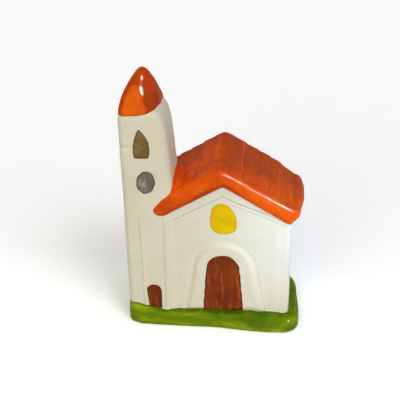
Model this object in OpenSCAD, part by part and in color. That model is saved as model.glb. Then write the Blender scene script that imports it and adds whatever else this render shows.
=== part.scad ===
// Small hand-painted ceramic church: a hollow casting with a bell tower on a grass base.
// +X is to the right, -Y is the front, +Z is up. The origin is the centre of the underside.

/* [Grass base] */
// Width of the base, left to right
base_w = 66; // [62:0.5:74]
// Depth of the base, front to back
base_d = 35.6; // [34:0.2:42]
// Height of the lawn above the table
base_h = 6.9; // [5.5:0.1:9]
// Radius of the base's front corners seen from above
base_corner_r = 6.5; // [4:0.1:8]
// Radius of the base's rear corners seen from above
base_rear_r = 11; // [6:0.1:12]
// Radius of the rolled foot edge
base_foot_r = 2.4; // [1:0.1:3]
// Radius of the lawn's edge
base_lawn_r = 0.8; // [0.4:0.1:1.5]
// Thickness of the floor under the hollow
floor_t = 3; // [2:0.1:4]
// Diameter of the drain hole in the floor
drain_d = 9; // [5:0.5:9.5]

/* [Casting] */
// Thickness of the cast wall
wall_t = 3.5; // [2.5:0.1:4]
// How deep a painted field is seated in its wall
seat_depth = 1; // [0.6:0.1:1.5]
// How far a painted field stands proud of its wall
field_proud = 0.3; // [0.1:0.05:0.6]

/* [Nave] */
// How far the nave's left wall stands in from the tower's left foot
nave_inset = 11.3; // [9:0.1:13]
// Width of the lawn to the right of the nave
right_lawn = 4.3; // [3:0.1:6]
// Width of the lawn behind the nave
rear_lawn = 2.9; // [2:0.1:5]
// How far the nave's front stands back from the tower's front
front_step = 1.1; // [0.8:0.1:1.5]
// Height of the gable's peak above the lawn, under the roof
gable_h = 53.4; // [48:0.1:56]
// Radius of the nave's upright corners
nave_corner_r = 1.8; // [0.8:0.1:3]

/* [Roof] */
// Slope of both roof faces, in degrees
roof_pitch = 30; // [26:0.5:33]
// Thickness of the right half of the roof, measured square to its slope
roof_t = 5.1; // [4:0.1:6]
// Reach of the round eave past the side walls
eave_reach = 3.8; // [2:0.1:4]
// Reach of the roof past the front wall
verge_reach = 1.6; // [1.3:0.1:2.5]
// Reach of the roof past the back wall
rear_reach = 0.6; // [0.2:0.1:2]
// Width of the smooth front verge, front to back
verge_w = 2.5; // [2:0.1:3]
// Distance of the left verge's tip from the tower's left foot
verge_tip_x = 10.9; // [9:0.1:13]
// How far the crest of the roof stands to the left of the gable's peak, which thickens the left half
crest_shift = 0.9; // [0:0.1:1]
// How much higher the slopes stand at the back than at the verge
rear_rise = 2; // [0:0.1:2.5]
// Radius of the rounded ridge
ridge_r = 3; // [2.5:0.1:4]
// Number of tile courses on each slope
course_count = 6; // [4:1:8]
// How far each tile course steps down to the next
course_step = 0.6; // [0.3:0.05:0.9]

/* [Tower] */
// Width of the tower at the lawn
tower_w = 20.7; // [19:0.1:22]
// Depth of the tower at the lawn
tower_d = 17.7; // [16:0.1:20]
// Height of the tower's walls above the lawn, with the shoulder
tower_h = 78.7; // [74:0.1:84]
// Distance of the tower's left foot in from the base's left edge
tower_inset_x = 0.8; // [0.6:0.1:2]
// Distance of the tower's front foot in from the base's front edge
tower_inset_y = 3.2; // [2.4:0.1:4]
// How far the left face leans in over its height
tower_draft_left = 0.9; // [0:0.1:2]
// How far the right face leans in over its height
tower_draft_right = 4.1; // [2:0.1:5]
// How far the front and back faces lean in over their height
tower_draft_depth = 0.3; // [0:0.1:1]
// Radius of the tower's upright corners
tower_corner_r = 2.2; // [1:0.1:3]
// Radius of the softer corner beside the nave
tower_soft_r = 3; // [2:0.1:4]
// Height of the rounded shoulder under the spire
shoulder_h = 4; // [3:0.1:6]
// Width of the ledge to the right of the spire
ledge_right = 2.2; // [1:0.1:3]
// Width of the ledge on the spire's other sides
ledge_w = 0.4; // [0.2:0.1:1]

/* [Spire] */
// Height of the spire above the shoulder
spire_h = 14.4; // [12:0.1:20]
// Radius of the spire's rounded tip
spire_tip_r = 1.7; // [1:0.1:2.5]
// Fullness of the spire's curved sides, 1 is straight
spire_fullness = 1.45; // [1.2:0.05:2]
// Sharpness of the spire's head: 1 runs to a point and less is blunter
spire_sharpness = 0.72; // [0.6:0.02:1]
// How far the spire's tip leans to the right
spire_lean = 0.9; // [0:0.1:1.5]
// Levels that the spire's curve is made of
spire_levels = 8; // [5:1:12]

/* [Main door and its arch] */
// Width of the door at the lawn
door_w = 15.2; // [12:0.1:17]
// Height of the door's crown above the lawn
door_h = 24.7; // [20:0.1:27]
// Width of the door where its arch starts
door_spring_w = 12.8; // [10:0.1:15]
// Distance of the door to the right of the gable's centre
door_shift = 0.1; // [-1:0.1:1]
// Width of the raised arch's leg at the lawn
arch_foot_w = 6.5; // [4:0.1:7]
// Width of the raised arch where its curve starts
arch_band_w = 5.6; // [4:0.1:6.5]
// Height of the raised arch above the door's crown
arch_crown_h = 5; // [3:0.1:6]
// Distance of the raised arch to the right of the gable's centre
arch_shift = 0.7; // [0:0.1:1.2]
// How far the arch stands proud of the front wall
arch_proud = 0.7; // [0.4:0.1:1]

/* [Cornice] */
// Height of the band under the verge
cornice_h = 4.4; // [3:0.1:6]
// How far the band stands proud of the front wall
cornice_proud = 0.8; // [0.4:0.1:1.2]
// Height of the right band where it ends
cornice_end_h = 1; // [0.5:0.1:2]
// How far short of the nave's corner the right band ends
cornice_short = 5.8; // [3:0.1:12]

/* [Windows, clock and tower door] */
// Width of the gable window
window_w = 9.7; // [7:0.1:11]
// Height of the gable window
window_h = 12.6; // [9:0.1:13]
// Height of the gable window's rounded foot, below its widest place
window_foot_h = 4.8; // [3:0.1:6]
// Distance of the gable window's head below the peak
window_drop = 7.1; // [6.4:0.1:7.4]
// Distance of the gable window to the right of the gable's centre
window_shift = 0.4; // [-0.5:0.1:0.8]
// Width of the belfry window
belfry_w = 6.2; // [5:0.1:7.5]
// Height of the belfry window, with its point
belfry_h = 10.9; // [8:0.1:11.5]
// Distance of the belfry window's point below the shoulder
belfry_drop = 0.4; // [0.3:0.1:2]
// Distance of the belfry window from the tower's left foot
belfry_x = 8.5; // [7:0.1:9]
// Width of the clock
clock_w = 6.8; // [6:0.1:8]
// Height of the clock
clock_h = 8.7; // [6:0.1:9]
// Gap between the belfry window's sill and the clock
clock_gap = 4.9; // [4:0.1:6]
// Distance of the clock from the tower's left foot
clock_x = 9.3; // [8:0.1:10]
// Width of the tower door
tower_door_w = 5.7; // [4.5:0.1:7]
// Height of the tower door above the lawn
tower_door_h = 11; // [8:0.1:12]
// Distance of the tower door from the tower's left foot
tower_door_x = 10.3; // [8:0.1:11]

/* [Hidden] */
$fn = 48;
// Facets round a rounded part that hull() joins
soft_fn = 32;
// Facets round the nose of the eave
nose_steps = 12;
// Facets round the top of the ridge
ridge_steps = 8;
// Facets round the gable window and the clock
oval_steps = 32;
// Thickness of the thin slices that hull() joins
slice = 0.01;
// Room past the object for the tools that cut it
far = 120;

white = [0.93, 0.91, 0.87];
orange = [0.93, 0.35, 0.05];
green = [0.42, 0.60, 0.08];
brown = [0.42, 0.16, 0.07];
yellow = [0.93, 0.83, 0.10];
olive = [0.45, 0.37, 0.18];
grey = [0.55, 0.55, 0.54];

// Places of the walls
tower_left = -base_w / 2 + tower_inset_x;
tower_front = -base_d / 2 + tower_inset_y;
tower_back = tower_front + tower_d;
nave_left = tower_left + nave_inset;
nave_right = base_w / 2 - right_lawn;
nave_front = tower_front + front_step;
nave_back = base_d / 2 - rear_lawn;
nave_x = (nave_left + nave_right) / 2;
nave_half = (nave_right - nave_left) / 2;
tower_hollow_back = tower_back - wall_t;
tower_top = base_h + tower_h;
shoulder_foot = tower_top - shoulder_h;
tower_middle = tower_left + tower_w / 2;

// Heights of the painted fields
window_sill = base_h + gable_h - window_drop - window_h;
belfry_sill = shoulder_foot - belfry_drop - belfry_h;
clock_z = belfry_sill - clock_gap - clock_h / 2;

// Lines of the roof
peak_z = base_h + gable_h;
left_roof_t = roof_t + 2 * crest_shift * sin(roof_pitch);
ridge_half = ridge_r * sin(roof_pitch);
roof_front = nave_front - verge_reach;
roof_back = nave_back + rear_reach;
function under_z(run) = peak_z - run * tan(roof_pitch);
function over_z(run, thick) = under_z(run) + thick / cos(roof_pitch);
// Only the last courses stay low at the back
function course_rise(i, courses) = rear_rise * min(1, 3 * (1 - (i + 1) / courses));
function share(z) = (z - base_h) / tower_h;

module span_box(x0, x1, y0, y1, z0, z1) {
    translate([x0, y0, z0]) cube([x1 - x0, y1 - y0, z1 - z0]);
}

// Rectangle with four round corners, made of plain arcs
module round_plan(x0, x1, y0, y1, r) {
    translate([x0 + r, y0]) square([x1 - x0 - 2 * r, y1 - y0]);
    translate([x0, y0 + r]) square([x1 - x0, y1 - y0 - 2 * r]);
    for (x = [x0 + r, x1 - r], y = [y0 + r, y1 - r]) translate([x, y]) circle(r);
}

// Sets an outline drawn in X and Z upright, from y0 back to y1
module upright(y0, y1) {
    translate([0, y1, 0]) rotate([90, 0, 0]) linear_extrude(y1 - y0) children();
}

// Section through the base: a rolled foot edge below and a small round at the lawn
module base_section(width) {
    half = width / 2;
    translate([-half + base_foot_r, 0]) square([width - 2 * base_foot_r, base_foot_r]);
    translate([-half, base_foot_r]) square([width, base_h - base_foot_r - base_lawn_r]);
    translate([-half + base_lawn_r, base_h - base_lawn_r - slice])
        square([width - 2 * base_lawn_r, base_lawn_r + slice]);
    for (side = [-1, 1]) {
        translate([side * (half - base_foot_r), base_foot_r]) circle(base_foot_r);
        translate([side * (half - base_lawn_r), base_h - base_lawn_r]) circle(base_lawn_r);
    }
}

// One quarter turn of the rolled edge, for a corner of radius r on the given sides of the base
module base_corner(side_x, side_y, r) {
    translate([side_x * (base_w / 2 - r), side_y * (base_d / 2 - r), 0])
        rotate_extrude() intersection() {
            base_section(2 * r);
            square([r, base_h]);
        }
}

// The base from its middle line to its front or back edge, with corners of radius r
module base_end(side_y, r) {
    inner_x = base_w / 2 - r;
    inner_y = base_d / 2 - r;
    upright(side_y < 0 ? -inner_y : 0, side_y < 0 ? 0 : inner_y) base_section(base_w);
    intersection() {
        rotate([0, 0, 90]) upright(-inner_x, inner_x) base_section(base_d);
        span_box(-far, far, side_y < 0 ? -far : 0, side_y < 0 ? 0 : far, -1, far);
    }
    for (side_x = [-1, 1]) base_corner(side_x, side_y, r);
}

module base_form() {
    base_end(-1, base_corner_r);
    base_end(1, base_rear_r);
}

module base_piece(x0, x1, y0, y1) {
    color(green) intersection() {
        base_form();
        span_box(x0, x1, y0, y1, -1, base_h + 1);
    }
}

// Outline of the gable wall, with its peak under the ridge
module gable_outline(x0, x1) {
    polygon([
        [x0, base_h], [x1, base_h],
        [x1, under_z(x1 - nave_x)], [nave_x, peak_z], [x0, under_z(nave_x - x0)]
    ]);
}

module nave_form() {
    intersection() {
        linear_extrude(far) round_plan(nave_left, nave_right, nave_front, nave_back, nave_corner_r);
        upright(nave_front - 1, nave_back + 1) gable_outline(nave_left, nave_right);
    }
}

// Room inside the nave, from the floor of the casting up to the roof
module nave_hollow() {
    upright(nave_front + wall_t, nave_back - wall_t)
        gable_outline(nave_left + wall_t, nave_right - wall_t);
    span_box(nave_left + wall_t, nave_right - wall_t, nave_front + wall_t, nave_back - wall_t,
        floor_t, base_h + wall_t);
}

// One level of the tower, drawn at height z and taken in by inset
module tower_level(z, inset, right_inset) {
    x0 = tower_left + tower_draft_left * share(z) + inset;
    x1 = tower_left + tower_w - tower_draft_right * share(z) - right_inset;
    y0 = tower_front + tower_draft_depth * share(z) + inset;
    y1 = tower_back - tower_draft_depth * share(z) - inset;
    r = tower_corner_r;
    translate([0, 0, z]) linear_extrude(slice) hull() {
        translate([x0 + r, y0 + r]) circle(r, $fn = soft_fn);
        translate([x1 - tower_soft_r, y0 + tower_soft_r]) circle(tower_soft_r, $fn = soft_fn);
        for (x = [x0 + r, x1 - r]) translate([x, y1 - r]) circle(r, $fn = soft_fn);
    }
}

module tower_form() {
    hull() {
        tower_level(base_h, 0, 0);
        tower_level(shoulder_foot - slice, 0, 0);
    }
}

// The tower run on past both ends, to cut what butts against it
module tower_cutter() {
    hull() {
        tower_level(-1, 0, 0);
        tower_level(tower_top, 0, 0);
    }
}

module tower_hollow() {
    hull() {
        tower_level(base_h - 1, wall_t, wall_t);
        tower_level(tower_top + 1, wall_t, wall_t + ledge_right);
    }
}

// One side wall of the tower, between its front and back walls, from x0 to x1
module tower_side(x0, x1) {
    difference() {
        intersection() {
            tower_form();
            span_box(x0, x1, tower_front + wall_t, tower_hollow_back, 0, far);
        }
        hull() for (z = [base_h - 1, tower_top])
            translate([tower_left + tower_draft_left * share(z) + wall_t, tower_front, z])
                cube([tower_w - (tower_draft_left + tower_draft_right) * share(z) - 2 * wall_t,
                    tower_d, slice]);
    }
}

// Door outline with sides that lean in to a round head
module door_outline(width, spring_w, height) {
    r = spring_w / 2;
    spring = base_h + height - r;
    polygon([[-width / 2, base_h], [width / 2, base_h], [r, spring], [-r, spring]]);
    translate([0, spring]) circle(r);
}

module field(wall_y, proud) {
    upright(wall_y - proud, wall_y + seat_depth) children();
}

module main_door_outline() {
    translate([nave_x + door_shift, 0]) door_outline(door_w, door_spring_w, door_h);
}

// Upright oval of the given width that reaches up and down from its widest place
module oval(width, up, down) {
    polygon([for (i = [0:oval_steps - 1])
        let (turn = 360 * i / oval_steps)
        [width / 2 * cos(turn), (turn < 180 ? up : down) * sin(turn)]]);
}

// Egg outline: a tall round head over a flatter foot with round corners
module gable_window_outline() {
    low_r = window_w / 4;
    translate([nave_x + window_shift, window_sill + window_foot_h]) {
        oval(window_w, window_h - window_foot_h, window_foot_h);
        for (side = [-1, 1]) translate([side * (window_w / 2 - low_r), low_r - window_foot_h])
            circle(low_r);
    }
}

// Lancet head made by two arcs that meet in a point
module belfry_outline() {
    half = belfry_w / 2;
    spring = belfry_h * 0.5;
    head = belfry_h - spring;
    r = (head * head + half * half) / (2 * half);
    translate([tower_left + belfry_x, belfry_sill]) {
        translate([-half, 0]) square([belfry_w, spring]);
        intersection() {
            translate([half - r, spring]) circle(r);
            translate([r - half, spring]) circle(r);
            translate([-half, spring - slice]) square([belfry_w, head + 1]);
        }
    }
}

module clock_outline() {
    translate([tower_left + clock_x, clock_z]) oval(clock_w, clock_h / 2, clock_h / 2);
}

module tower_door_outline() {
    translate([tower_left + tower_door_x, 0]) door_outline(tower_door_w, tower_door_w, tower_door_h);
}

// One roof face to the right of the ridge, with a round nose: plain, or stepped in courses.
// Back is 0 for its outline at the verge and 1 for its outline at the back.
function slope_outline(start, reach, thick, courses, step, back) =
    let (
        nose_r = thick / 2,
        nose_x = reach - nose_r,
        nose_z = (under_z(nose_x) + over_z(nose_x, thick)) / 2,
        run = (nose_x + nose_r * sin(roof_pitch) - start) / courses
    )
    concat(
        [[start, under_z(start)]],
        [for (i = [0:courses - 1], end = [0, 1])
            let (x = start + (i + end) * run)
            [x, over_z(x, thick) - step * (1 - end) + back * course_rise(i, courses)]],
        [for (i = [1:nose_steps])
            let (turn = 90 - roof_pitch - 180 * i / nose_steps)
            [nose_x + nose_r * cos(turn), nose_z + nose_r * sin(turn)]]
    );

// Solid between a clockwise outline at y0 and the same outline, reshaped, at y1
module loft(outline0, y0, outline1, y1) {
    n = len(outline0);
    polyhedron(
        points = concat([for (p = outline0) [p[0], y0, p[1]]], [for (p = outline1) [p[0], y1, p[1]]]),
        faces = concat(
            [[for (i = [0:n - 1]) i]],
            [[for (i = [0:n - 1]) 2 * n - 1 - i]],
            [for (i = [0:n - 1]) [i, n + i, n + (i + 1) % n, (i + 1) % n]]
        )
    );
}

module roof_slope(start, thick) {
    reach = nave_half + eave_reach;
    y0 = roof_front + verge_w;
    loft(slope_outline(start, reach, thick, course_count, course_step, 0), y0,
        slope_outline(start, reach, thick, course_count, course_step, 1), roof_back);
}

module verge(start, reach, thick) {
    upright(roof_front, roof_front + verge_w) polygon(slope_outline(start, reach, thick, 1, 0, 0));
}

module base_floor() {
    color(white) difference() {
        span_box(tower_left + wall_t, nave_right - wall_t, nave_front + wall_t, nave_back - wall_t,
            0, floor_t);
        base_rear_corner_cut();
        translate([nave_x, (nave_front + nave_back) / 2, -far]) cylinder(d = drain_d, h = 2 * far);
    }
}

module base_rear_corner_cut() {
    span_box(-far, nave_left + wall_t, tower_hollow_back, far, -1, far);
}

module grass_front() {
    base_piece(-far, far, -far, nave_front + wall_t);
}

module grass_back() {
    base_piece(-far, far, nave_back - wall_t, far);
}

module grass_right() {
    base_piece(nave_right - wall_t, far, nave_front + wall_t, nave_back - wall_t);
}

module grass_left() {
    base_piece(-far, tower_left + wall_t, nave_front + wall_t, tower_hollow_back);
}

module grass_rear_corner() {
    base_piece(-far, nave_left + wall_t, tower_hollow_back, nave_back - wall_t);
}

module nave_front_wall() {
    color(white) difference() {
        intersection() {
            nave_form();
            span_box(tower_middle, far, -far, nave_front + wall_t, 0, far);
        }
        tower_cutter();
        field(nave_front, 1) main_door_outline();
        field(nave_front, 1) gable_window_outline();
    }
}

module nave_right_wall() {
    color(white) intersection() {
        nave_form();
        span_box(nave_right - wall_t, far, nave_front + wall_t, nave_back - wall_t, 0, far);
    }
}

module nave_back_wall() {
    color(white) intersection() {
        nave_form();
        span_box(-far, far, nave_back - wall_t, far, 0, far);
    }
}

module nave_left_wall() {
    color(white) intersection() {
        nave_form();
        span_box(-far, nave_left + wall_t, tower_back, nave_back - wall_t, 0, far);
    }
}

module tower_front_wall() {
    color(white) difference() {
        intersection() {
            tower_form();
            span_box(-far, far, -far, tower_front + wall_t, 0, far);
        }
        verge_left_form();
        field(tower_front, 1) tower_door_outline();
        field(tower_front + tower_draft_depth, 1) clock_outline();
        field(tower_front + tower_draft_depth, 1) belfry_outline();
    }
}

module tower_left_wall() {
    color(white) tower_side(-far, tower_middle);
}

module tower_right_wall() {
    color(white) difference() {
        tower_side(tower_middle, far);
        nave_hollow();
    }
}

module tower_back_wall() {
    color(white) difference() {
        intersection() {
            tower_form();
            span_box(-far, far, tower_hollow_back, far, 0, far);
        }
        nave_hollow();
    }
}

module tower_shoulder() {
    color(white) difference() {
        hull() for (t = [0, 0.3, 0.55, 0.75, 0.9, 1])
            tower_level(shoulder_foot + (shoulder_h - slice) * t,
                ledge_w * (1 - sqrt(1 - t * t)), ledge_right * (1 - sqrt(1 - t * t)));
        tower_hollow();
    }
}

// Spire levels shrink along a full curve to a round tip
module spire_form(inset) {
    x0 = tower_left + tower_draft_left + ledge_w + inset;
    x1 = tower_left + tower_w - tower_draft_right - ledge_right - inset;
    y0 = tower_front + tower_draft_depth + ledge_w + inset;
    y1 = tower_back - tower_draft_depth - ledge_w - inset;
    mid_x = (x0 + x1) / 2;
    mid_y = (y0 + y1) / 2;
    height = spire_h - inset;
    hull() {
        for (i = [0:spire_levels - 1]) {
            t = i / spire_levels;
            shrink = pow(1 - pow(t, spire_fullness), spire_sharpness);
            width = (x1 - x0) / 2 * shrink;
            depth = (y1 - y0) / 2 * shrink;
            r = min(tower_corner_r, width - slice);
            translate([mid_x + spire_lean * t, mid_y, tower_top + t * (height - spire_tip_r)])
                linear_extrude(slice)
                hull() for (x = [-1, 1], y = [-1, 1])
                    translate([x * (width - r), y * (depth - r)]) circle(r, $fn = soft_fn);
        }
        translate([mid_x + spire_lean, mid_y, tower_top + height - spire_tip_r])
            sphere(spire_tip_r, $fn = soft_fn);
    }
}

module tower_spire() {
    color(orange) difference() {
        spire_form(0);
        translate([0, 0, -slice]) spire_form(wall_t);
    }
}

module roof_right_slope() {
    color(orange) translate([nave_x, 0, 0]) roof_slope(ridge_half - crest_shift, roof_t);
}

module roof_left_slope() {
    color(orange) difference() {
        translate([nave_x, 0, 0]) mirror([1, 0, 0]) roof_slope(ridge_half + crest_shift, left_roof_t);
        tower_cutter();
    }
}

// Outline of the ridge, round on top, with its shoulders raised by lift
function ridge_outline(lift) =
    let (
        left = -crest_shift - ridge_half,
        right = -crest_shift + ridge_half,
        shoulder_z = over_z(right, roof_t) + lift,
        round_z = shoulder_z - ridge_r * cos(roof_pitch)
    )
    concat(
        [[0, peak_z], [left, under_z(-left)]],
        [for (i = [0:ridge_steps])
            let (turn = 90 + roof_pitch - 2 * roof_pitch * i / ridge_steps)
            [-crest_shift + ridge_r * cos(turn), round_z + ridge_r * sin(turn)]],
        [[right, under_z(right)]]
    );

module roof_ridge() {
    y0 = roof_front + verge_w;
    color(orange) translate([nave_x, 0, 0]) {
        upright(roof_front, y0) polygon(ridge_outline(0));
        loft(ridge_outline(0), y0, ridge_outline(rear_rise), roof_back);
    }
}

module verge_right() {
    color(orange) translate([nave_x, 0, 0]) verge(ridge_half - crest_shift, nave_half + eave_reach, roof_t);
}

module verge_left_form() {
    translate([nave_x, 0, 0]) mirror([1, 0, 0])
        verge(ridge_half + crest_shift, nave_x - tower_left - verge_tip_x, left_roof_t);
}

module verge_left() {
    color(orange) verge_left_form();
}

// Band under the verge, from the peak out to a run where it is end_h tall
module cornice_band(side, run, end_h) {
    difference() {
        upright(nave_front - cornice_proud, nave_front)
            translate([nave_x, 0]) mirror([side < 0 ? 1 : 0, 0]) polygon([
                [0, peak_z], [0, peak_z - cornice_h], [run, under_z(run) - end_h], [run, under_z(run)]
            ]);
        tower_cutter();
        field(nave_front, 1) gable_window_outline();
    }
}

module cornice_right() {
    color(white) cornice_band(1, nave_half - cornice_short, cornice_end_h);
}

module cornice_left() {
    color(white) cornice_band(-1, nave_x - tower_middle, cornice_h);
}

module door_arch() {
    color(white) difference() {
        upright(nave_front - arch_proud, nave_front) translate([nave_x + arch_shift, 0])
            door_outline(door_w + 2 * arch_foot_w, door_spring_w + 2 * arch_band_w, door_h + arch_crown_h);
        field(nave_front, 1) main_door_outline();
        field(nave_front, 1) gable_window_outline();
        tower_cutter();
    }
}

module main_door() {
    color(brown) field(nave_front, arch_proud + field_proud) main_door_outline();
}

module tower_door() {
    color(brown) field(tower_front, field_proud) tower_door_outline();
}

module gable_window() {
    color(yellow) field(nave_front, field_proud) gable_window_outline();
}

module belfry_window() {
    color(olive) field(tower_front + tower_draft_depth, field_proud) belfry_outline();
}

module clock_face() {
    color(grey) difference() {
        field(tower_front + tower_draft_depth, field_proud) clock_outline();
        verge_left_form();
    }
}

base_floor();
grass_front();
grass_back();
grass_right();
grass_left();
grass_rear_corner();
nave_front_wall();
nave_right_wall();
nave_back_wall();
nave_left_wall();
tower_front_wall();
tower_left_wall();
tower_back_wall();
tower_right_wall();
tower_shoulder();
tower_spire();
roof_right_slope();
roof_left_slope();
roof_ridge();
verge_right();
verge_left();
cornice_right();
cornice_left();
door_arch();
main_door();
tower_door();
gable_window();
belfry_window();
clock_face();
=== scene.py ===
import math

import bpy
import numpy as np
from mathutils import Matrix, Vector


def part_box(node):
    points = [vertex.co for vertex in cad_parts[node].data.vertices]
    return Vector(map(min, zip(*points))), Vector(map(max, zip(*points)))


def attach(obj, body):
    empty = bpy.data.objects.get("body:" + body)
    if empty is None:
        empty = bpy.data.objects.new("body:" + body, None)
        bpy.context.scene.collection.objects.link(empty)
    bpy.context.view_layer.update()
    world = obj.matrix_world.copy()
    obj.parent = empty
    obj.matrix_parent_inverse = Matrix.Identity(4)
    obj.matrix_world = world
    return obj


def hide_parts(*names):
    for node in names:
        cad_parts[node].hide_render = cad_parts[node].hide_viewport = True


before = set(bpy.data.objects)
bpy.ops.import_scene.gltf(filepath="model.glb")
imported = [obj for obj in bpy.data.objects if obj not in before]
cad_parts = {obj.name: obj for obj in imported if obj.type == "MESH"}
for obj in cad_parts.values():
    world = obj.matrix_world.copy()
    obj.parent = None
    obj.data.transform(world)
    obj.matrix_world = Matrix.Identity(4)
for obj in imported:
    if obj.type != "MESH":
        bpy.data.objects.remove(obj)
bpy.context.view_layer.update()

# The church is one soft, hand-painted casting. Its form is written below as fields in millimetres:
# a field is below zero inside the clay and above zero outside it. The skin of the whole casting is
# found once, cut along the painter's edges into glaze fields, and each field becomes a closed shell.

# A millimetre in metres, then the cell of the skin's grid and the thickness of a shell and of the glaze

MM = 0.001
CELL = 0.42
SHELL = 0.7
GLAZE = 0.16


def corners(node):
    """Lowest and highest corner of a node of the frame, in millimetres."""
    low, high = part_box(node)
    return np.array(low) / MM, np.array(high) / MM


# Sizes and places taken from the frame

BASE_HIGH = corners("grass_front")[1]
BACK_HIGH = corners("grass_back")[1]
LAWN_Z = BASE_HIGH[2]
BASE_HALF = np.array([BASE_HIGH[0], BACK_HIGH[1]])
NAVE_FRONT = corners("nave_front_wall")[0][1]
NAVE_BACK = corners("nave_back_wall")[1][1]
NAVE_LEFT = corners("nave_back_wall")[0][0]
NAVE_RIGHT = corners("nave_back_wall")[1][0]
NAVE_X = (NAVE_LEFT + NAVE_RIGHT) / 2
PEAK_Z = corners("nave_back_wall")[1][2]
EAVE_X = corners("verge_right")[1][0]
TIP_X = corners("verge_left")[0][0]
ROOF_FRONT = corners("verge_right")[0][1]
ROOF_BACK = corners("roof_right_slope")[1][1]
TOWER_LEFT, TOWER_RIGHT = corners("tower_front_wall")[0][0], corners("tower_front_wall")[1][0]
TOWER_FRONT, TOWER_BACK = corners("tower_front_wall")[0][1], corners("tower_back_wall")[1][1]
SHOULDER_Z = corners("tower_shoulder")[1][2]
SPIRE_LOW, SPIRE_HIGH = corners("tower_spire")
BELFRY_SILL = corners("belfry_window")[0][2]
FLOOR_LOW, FLOOR_HIGH = corners("base_floor")
CLOCK_Z = (corners("clock_face")[0][2] + corners("clock_face")[1][2]) / 2

# Sizes of the doors, the windows and the clock. A pair of half widths is at the foot and at the head

DOOR_HALVES = (7.75, 6.2)
DOOR_HEIGHT = 26.4
ARCH_HALVES = (14.8, 11.5)
ARCH_HEIGHT = 29.8
SIDE_DOOR_HALVES = (2.4, 2.8)
SIDE_DOOR_HEIGHT = 12.5
DOOR_BELOW_LAWN = 1.5
PLANK_WIDTH = 2.7
WINDOW_BELOW_PEAK = 14.9
WINDOW_HALF = 4.85
WINDOW_UP = 7.8
WINDOW_DOWN = 4.8
BELFRY_RIGHT_ARC = (-6.0, 3.7, 9.0)
BELFRY_LEFT_ARC = (14.7, 2.0, 17.7)
BELFRY_FOOT_HALF = 3.1
BELFRY_FOOT_ROUND = 1.1
CLOCK_HALF = 3.4
CLOCK_UP = 4.35

# Sizes of the lawn

LAWN_BACK_CORNER = 11
LAWN_FRONT_CORNER = 6.5
LAWN_ROLL = 2.8
LAWN_RISE_LEFT = 1.6
LAWN_FALL_RIGHT = 0.45
LAWN_BOW = 1.5
FOOT_ROLL = 1.0

# Sizes of the roof. A tile's foot and lip are shares of its length, and a pair is a direction, about 1 long

ROOF_ANGLE = math.radians(30)
PITCH = math.tan(ROOF_ANGLE)
SLOPE_COS = math.cos(ROOF_ANGLE)
RIGHT_PITCH = PITCH + 0.040
PEAK_OFFSET = 0.5
TOP_PITCH = 0.592
RIDGE_OFFSET = 0.9
ROOF_DEPTH = 6.65
ROOF_LIFT = 2.0
VERGE_WIDTH = 2.2
TILE_START = 4.0
TILE_LENGTH = 4.45
TILE_WIDTH = 7.6
TILE_DROP = 0.40
TILE_FOOT = 0.78
TILE_LIP = 0.06
JOINT_DEPTH = 0.26
EAVE_OUT, EAVE_DOWN = 0.726, 0.688
EAVE_SWELL = 2.2
TIP_ACROSS, TIP_UP = 0.821, 0.572

# Sizes of the walls, the tower and the spire. A pair is again a direction, or the powers of a curve

NAVE_CORNER = 2.0
ARCH_PROUD = 0.95
CORNICE_PROUD = 0.65
CORNICE_DEPTH = 4.6
CORNICE_NARROWING = 3.6
TOWER_TAPER = 4.1
TOWER_CORNERS = {"left": 2.4, "front right": 3.0, "back right": 1.7}
TOWER_NICK_Z = 74.2
TOWER_NICK_DEPTH = 0.45
TOWER_FALL = 0.95
SHOULDER_OUT, SHOULDER_UP = 0.9, 0.44
SHOULDER_ROUND = 3.0
HIP_ACROSS, HIP_FORWARD = 0.85, 0.53
HIP_CUT = 3.1
SPIRE_BELLY, SPIRE_CLOSING = 1.45, 0.7
SPIRE_TIP_ROUND = 6
SPIRE_TIP_DROP = 5.5


# Small tools for fields

def smooth_step(value, start, end):
    """0 before start and 1 past end, with a soft rise between."""
    t = np.clip((value - start) / (end - start), 0, 1)
    return t * t * (3 - 2 * t)


def soft_union(a, b, k):
    """Joins two fields with a fillet about k wide."""
    h = np.maximum(k - np.abs(a - b), 0) / k
    return np.minimum(a, b) - h * h * k / 4


def soft_cut(a, b, k):
    """Keeps what lies in both fields, with an edge rounded over about k."""
    return -soft_union(-a, -b, k)


def bump(value, middle, width):
    """A round ridge, 1 high at middle and 0 past width on both sides."""
    t = np.clip(1 - np.abs(value - middle) / width, 0, 1)
    return t * t * (3 - 2 * t)


def waver(a, b, scale, seed):
    """Slow, smooth unevenness between about -1 and 1, as a hand leaves it."""
    turn = 2 * math.pi / scale
    total = np.sin(turn * (a + 0.31 * b) + 1.7 * seed)
    total = total + np.sin(turn * (1.63 * b - 0.42 * a) + 2.9 * seed + 0.6)
    total = total + 0.6 * np.sin(turn * 2.3 * (0.8 * a - 0.7 * b) + 4.1 * seed)
    return total / 2.2


def round_rectangle(u, v, half_u, half_v, radius):
    """Distance to a rectangle with rounded corners, centred on 0."""
    qu = np.abs(u) - (half_u - radius)
    qv = np.abs(v) - (half_v - radius)
    outside = np.sqrt(np.maximum(qu, 0) ** 2 + np.maximum(qv, 0) ** 2)
    return outside + np.minimum(np.maximum(qu, qv), 0) - radius


def round_head(u, v, half_low, half_high, height):
    """Door or window outline with sides that lean in to a round head, standing on v = 0."""
    spring = height - half_high
    lean = (half_low - half_high) / max(spring, 0.1)
    sides = (np.abs(u) - half_low + lean * v) / math.sqrt(1 + lean * lean)
    head = np.hypot(u, np.maximum(v - spring, 0)) - half_high
    return np.maximum(np.where(v > spring, head, sides), -v)


def oval(u, v, half, reach, power):
    """Distance to an upright oval: power 2 is round and more is squarer."""
    return (np.power(np.abs(u / half) ** power + np.abs(v / reach) ** power, 1 / power) - 1) * half


# Outlines on the front, in X and Z

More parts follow.
